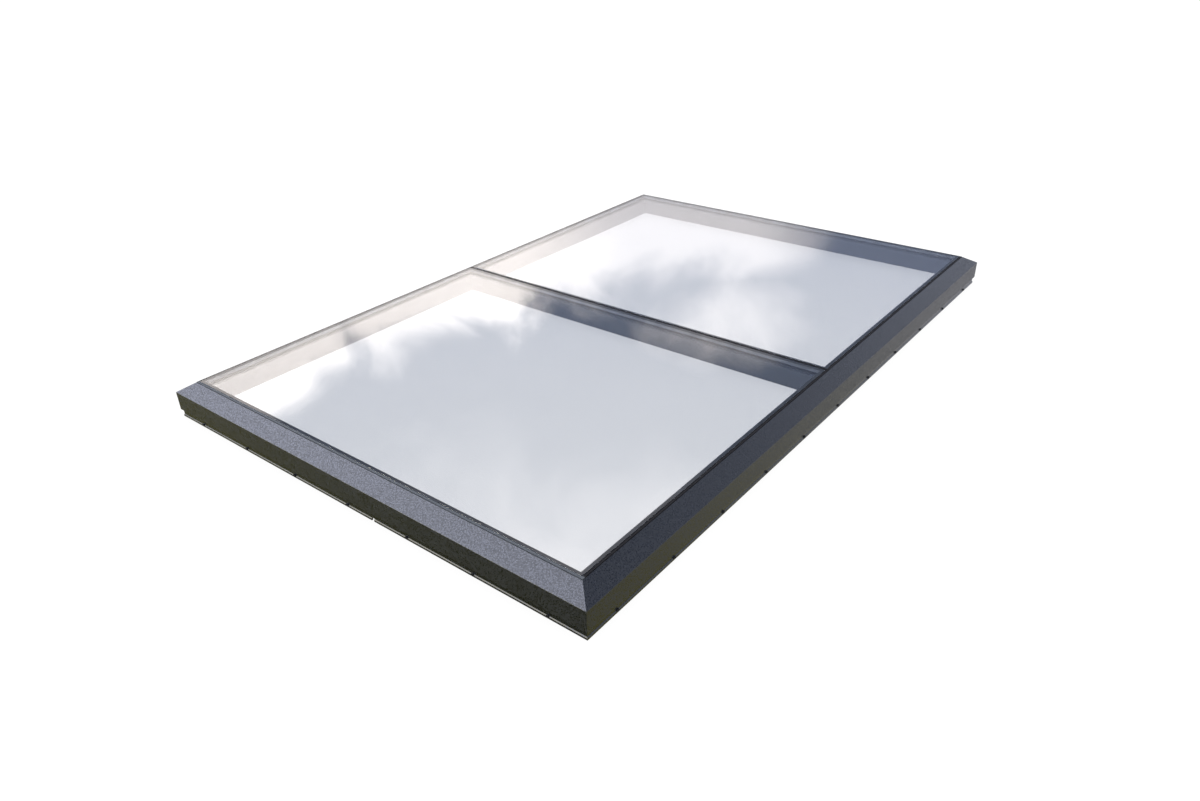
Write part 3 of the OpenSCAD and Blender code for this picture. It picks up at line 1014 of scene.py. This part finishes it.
# Places in the mirrored sky, in degrees. An azimuth is 0 towards the back and grows to the
# right, and an elevation is 0 at the horizon. A pair is where something starts to show and
# where it shows in full. WISPS is how far the noise moves an edge, and COVER how much shows.
BANK_TOP, BANK_SLOPE = 14.6, -0.20
BANK_WISPS = 10.0
BANK_EDGE = (-2.0, 1.6)
BANK_RIGHT = (-21.0, -29.0)
BANK_LEFT = (-96.0, -74.0)
BANK_FULL, BANK_THIN_COVER = (-36.0, -46.0), 0.46
PUFF_AZIMUTH, PUFF_ELEVATION = -29.4, 24.6
PUFF_WIDTH, PUFF_HEIGHT = 5.0, 2.4
PUFF_WISPS = -6.0
PUFF_EDGE, PUFF_COVER = (2.0, -0.8), 0.46
HIGH_WISPS = 14.0
HIGH_EDGE, HIGH_COVER = (31.0, 43.0), 0.48
HIGH_RIGHT = (-8.0, -28.0)
CLEAR_RISE = (20.0, 34.0)
HAZE_RISE = (15.0, 50.0)
HAZE_LEFT = (-16.0, 8.0)
BOX_RIGHT = (-86.0, -100.0)
BOX_LEFT = (-178.0, -160.0)
BOX_FOOT = (20.0, 28.0)
LOW_BOX_RIGHT = (-116.0, -126.0)
LOW_BOX_TOP = (42.0, 30.0)
GROUND_RISE = (-46.0, -16.0)
GROUND_TURN = (-60.0, 0.0)
HORIZON = (-6.0, 2.0)


class Sky(Nodes):
    """The nodes of the world."""

    def step(self, value, span, to_low=0.0, to_high=1.0):
        """Eases from one number to another while a value crosses a span."""
        return self.between(value, *span, to_low, to_high, "SMOOTHSTEP")

    def product(self, first, *others):
        """Several values multiplied."""
        for other in others:
            first = self.math("MULTIPLY", first, other)
        return first


def cloud_cover(sky, azimuth, elevation, wisps):
    """How far clouds cover the sky, from 0 to 1."""
    # a bank low on the left, whose top falls towards the back
    top = sky.math("MULTIPLY_ADD", azimuth, BANK_SLOPE, BANK_TOP)
    inside = sky.math("MULTIPLY_ADD", wisps, BANK_WISPS, sky.math("SUBTRACT", top, elevation))
    bank = sky.product(
        sky.step(inside, BANK_EDGE),
        sky.step(azimuth, BANK_RIGHT),
        sky.step(azimuth, BANK_LEFT),
        sky.step(azimuth, BANK_FULL, BANK_THIN_COVER, 1.0),
    )
    # one soft puff higher up towards the back
    across = sky.math("DIVIDE", sky.math("SUBTRACT", azimuth, PUFF_AZIMUTH), PUFF_WIDTH)
    up = sky.math("DIVIDE", sky.math("SUBTRACT", elevation, PUFF_ELEVATION), PUFF_HEIGHT)
    away = sky.math("ADD", sky.product(across, across), sky.product(up, up))
    away = sky.math("MULTIPLY_ADD", wisps, PUFF_WISPS, away)
    puff = sky.step(away, PUFF_EDGE, 0.0, PUFF_COVER)
    # thin high cloud everywhere but on the right
    height = sky.math("MULTIPLY_ADD", wisps, HIGH_WISPS, elevation)
    high = sky.product(sky.step(height, HIGH_EDGE, 0.0, HIGH_COVER), sky.step(azimuth, HIGH_RIGHT))
    return sky.math("MAXIMUM", bank, sky.math("MAXIMUM", puff, high))


def make_world(scene):
    """Plain pale light all round, with a soft clouded sky in reflections only."""
    world = bpy.data.worlds.new("Studio")
    scene.world = world
    world.use_nodes = True
    # rays only meet the sky by mirroring or scattering, and are never aimed at it as at a lamp
    world.cycles.sampling_method = "NONE"
    sky = Sky(world.node_tree)
    direction = sky.add("TexCoord").outputs["Generated"]
    x, y, z = sky.axes(direction)
    elevation = sky.math("MULTIPLY", sky.math("ARCSINE", z), DEGREES)
    azimuth = sky.math("MULTIPLY", sky.math("ARCTAN2", x, y), DEGREES)
    shift = sky.add("VectorMath", operation="ADD")
    sky.feed(shift.inputs[0], direction)
    sky.feed(shift.inputs[1], WISP_SHIFT)
    waves = sky.noise_at(shift.outputs["Vector"], WISP_SCALE, WISP_DETAIL, WISP_TWIST)
    wisps = sky.math("SUBTRACT", waves, 0.5)
    left = sky.blend(sky.step(elevation, CLEAR_RISE), CLEAR_LOW, CLEAR_HIGH)
    right = sky.blend(sky.step(elevation, HAZE_RISE), HAZE_LOW, HAZE_HIGH)
    clear = sky.blend(sky.step(azimuth, HAZE_LEFT), left, right)
    clouded = sky.blend(cloud_cover(sky, azimuth, elevation, wisps), clear, CLOUD)
    low_box = sky.product(sky.step(azimuth, LOW_BOX_RIGHT), sky.step(elevation, LOW_BOX_TOP))
    softbox = sky.product(
        sky.step(azimuth, BOX_RIGHT),
        sky.step(azimuth, BOX_LEFT),
        sky.math("MAXIMUM", low_box, sky.step(elevation, BOX_FOOT)),
    )
    above = sky.blend(softbox, clouded, sky.blend(low_box, SOFTBOX, SOFTBOX_LOW))
    rise = sky.step(elevation, GROUND_RISE)
    ground = sky.blend(
        sky.step(azimuth, GROUND_TURN),
        sky.blend(rise, FRONT_GROUND_LOW, FRONT_GROUND_HIGH),
        sky.blend(rise, RIGHT_GROUND_LOW, RIGHT_GROUND_HIGH),
    )
    mirrored = sky.blend(sky.step(elevation, HORIZON), ground, above)
    path = sky.add("LightPath")
    scattered = sky.math("GREATER_THAN", path.outputs["Diffuse Depth"], 0.5)
    plain = sky.math("MAXIMUM", path.outputs["Is Camera Ray"], scattered)
    background = world.node_tree.nodes["Background"]
    sky.feed(background.inputs["Color"], sky.blend(plain, mirrored, STUDIO))
    sky.feed(background.inputs["Strength"], STUDIO_LIGHT)


def add_lamp(name, height, size, power):
    """A soft square lamp over the middle that shines straight down and isn't seen itself."""
    data = bpy.data.lights.new(name, "AREA")
    data.shape = "SQUARE"
    data.size = size
    data.energy = power
    lamp = bpy.data.objects.new(name, data)
    lamp.location = (0, 0, height)
    lamp.visible_camera = False
    lamp.visible_glossy = False
    lamp.visible_transmission = False
    bpy.context.scene.collection.objects.link(lamp)


def add_camera(place, turn, lens, sensor):
    """The scene's camera at a place, with its turn in degrees and its lens in millimetres."""
    data = bpy.data.cameras.new("Camera")
    data.lens = lens
    data.sensor_width = sensor
    camera = bpy.data.objects.new("Camera", data)
    camera.location = place
    camera.rotation_euler = [math.radians(a) for a in turn]
    bpy.context.scene.collection.objects.link(camera)
    bpy.context.scene.camera = camera


class ROOFLIGHT_OT_stage(bpy.types.Operator):
    """Adds the plain floor, the soft studio light and the camera."""

    bl_idname = "rooflight.stage"
    bl_label = "Stage"

    def execute(self, context):
        scene = context.scene
        rest()
        bpy.ops.mesh.primitive_plane_add(size=60, location=(0, 0, 0))
        floor = context.object
        floor.name = "floor"
        tone = tuple(scene.rooflight_finishes.floor)
        floor.data.materials.append(made("Plain floor", plain_floor, tone))
        floor.visible_glossy = False
        make_world(scene)
        add_lamp("Top light", height=5, size=4, power=60)
        add_camera(
            place=(2.118, -2.791, 1.688), turn=(60.49, 1.61, 38.23), lens=26.67, sensor=36
        )
        scene.view_settings.view_transform = "Standard"
        return {"FINISHED"}


# ---- Panel and start ----


class ROOFLIGHT_PT_panel(bpy.types.Panel):
    """Sizes, finishes and steps of the rooflight."""

    bl_label = "Rooflight"
    bl_idname = "ROOFLIGHT_PT_panel"
    bl_space_type = "VIEW_3D"
    bl_region_type = "UI"
    bl_category = "Rooflight"

    def draw(self, context):
        for group in (
            context.scene.rooflight_surround,
            context.scene.rooflight_glass,
            context.scene.rooflight_fixings,
            context.scene.rooflight_finishes,
        ):
            box = self.layout.box()
            for key in group.bl_rna.properties.keys():
                if key not in ("rna_type", "name"):
                    box.prop(group, key)
        for step in STEPS:
            self.layout.operator(step.bl_idname)


STEPS = [
    ROOFLIGHT_OT_surround,
    ROOFLIGHT_OT_panes,
    ROOFLIGHT_OT_silicone,
    ROOFLIGHT_OT_bushes,
    ROOFLIGHT_OT_profiles,
    ROOFLIGHT_OT_hidden,
    ROOFLIGHT_OT_stage,
]
GROUPS = {
    "rooflight_surround": SurroundSizes,
    "rooflight_glass": GlassSizes,
    "rooflight_fixings": FixingSizes,
    "rooflight_finishes": Finishes,
}
CLASSES = [*GROUPS.values(), *STEPS, ROOFLIGHT_PT_panel]


def register():
    """Registers the classes and their settings."""
    for cls in CLASSES:
        bpy.utils.register_class(cls)
    for name, group in GROUPS.items():
        setattr(bpy.types.Scene, name, PointerProperty(type=group))


def unregister():
    """Removes the classes and their settings."""
    for name in GROUPS:
        delattr(bpy.types.Scene, name)
    for cls in reversed(CLASSES):
        bpy.utils.unregister_class(cls)


def main():
    """Makes every piece and the stage."""
    register()
    bpy.ops.rooflight.surround()
    bpy.ops.rooflight.panes()
    bpy.ops.rooflight.silicone()
    bpy.ops.rooflight.bushes()
    bpy.ops.rooflight.profiles()
    bpy.ops.rooflight.hidden()
    bpy.ops.rooflight.stage()


if __name__ == "__main__":
    main()
